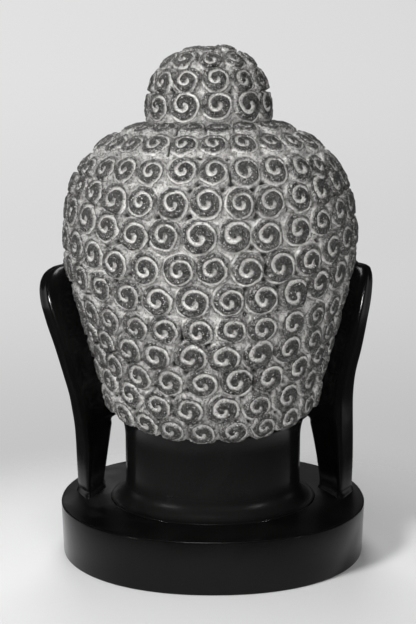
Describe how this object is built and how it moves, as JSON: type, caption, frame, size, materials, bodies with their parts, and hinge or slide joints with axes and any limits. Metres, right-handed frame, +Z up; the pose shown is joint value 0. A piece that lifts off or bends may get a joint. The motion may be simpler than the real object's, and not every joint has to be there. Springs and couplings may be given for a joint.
{
  "type": "stone buddha head",
  "caption": "Buddha head with snail-shell curls, topknot and long free-standing ears, carved in one piece with its neck and round plinth.",
  "frame": {"origin": "centre of the plinth's underside", "axes": "+Z up, the face looks along -Y, the back of the head looks along +Y, +X is the head's own left"},
  "size_m": [0.3089, 0.283, 0.4572],
  "materials": {
    "stone": "black stone, polished smooth on the face, ears, neck and plinth, left rough and powdery grey on the carved hair"
  },
  "bodies": {
    "root": {"buddha_head": "stone"}
  },
  "joints": []
}
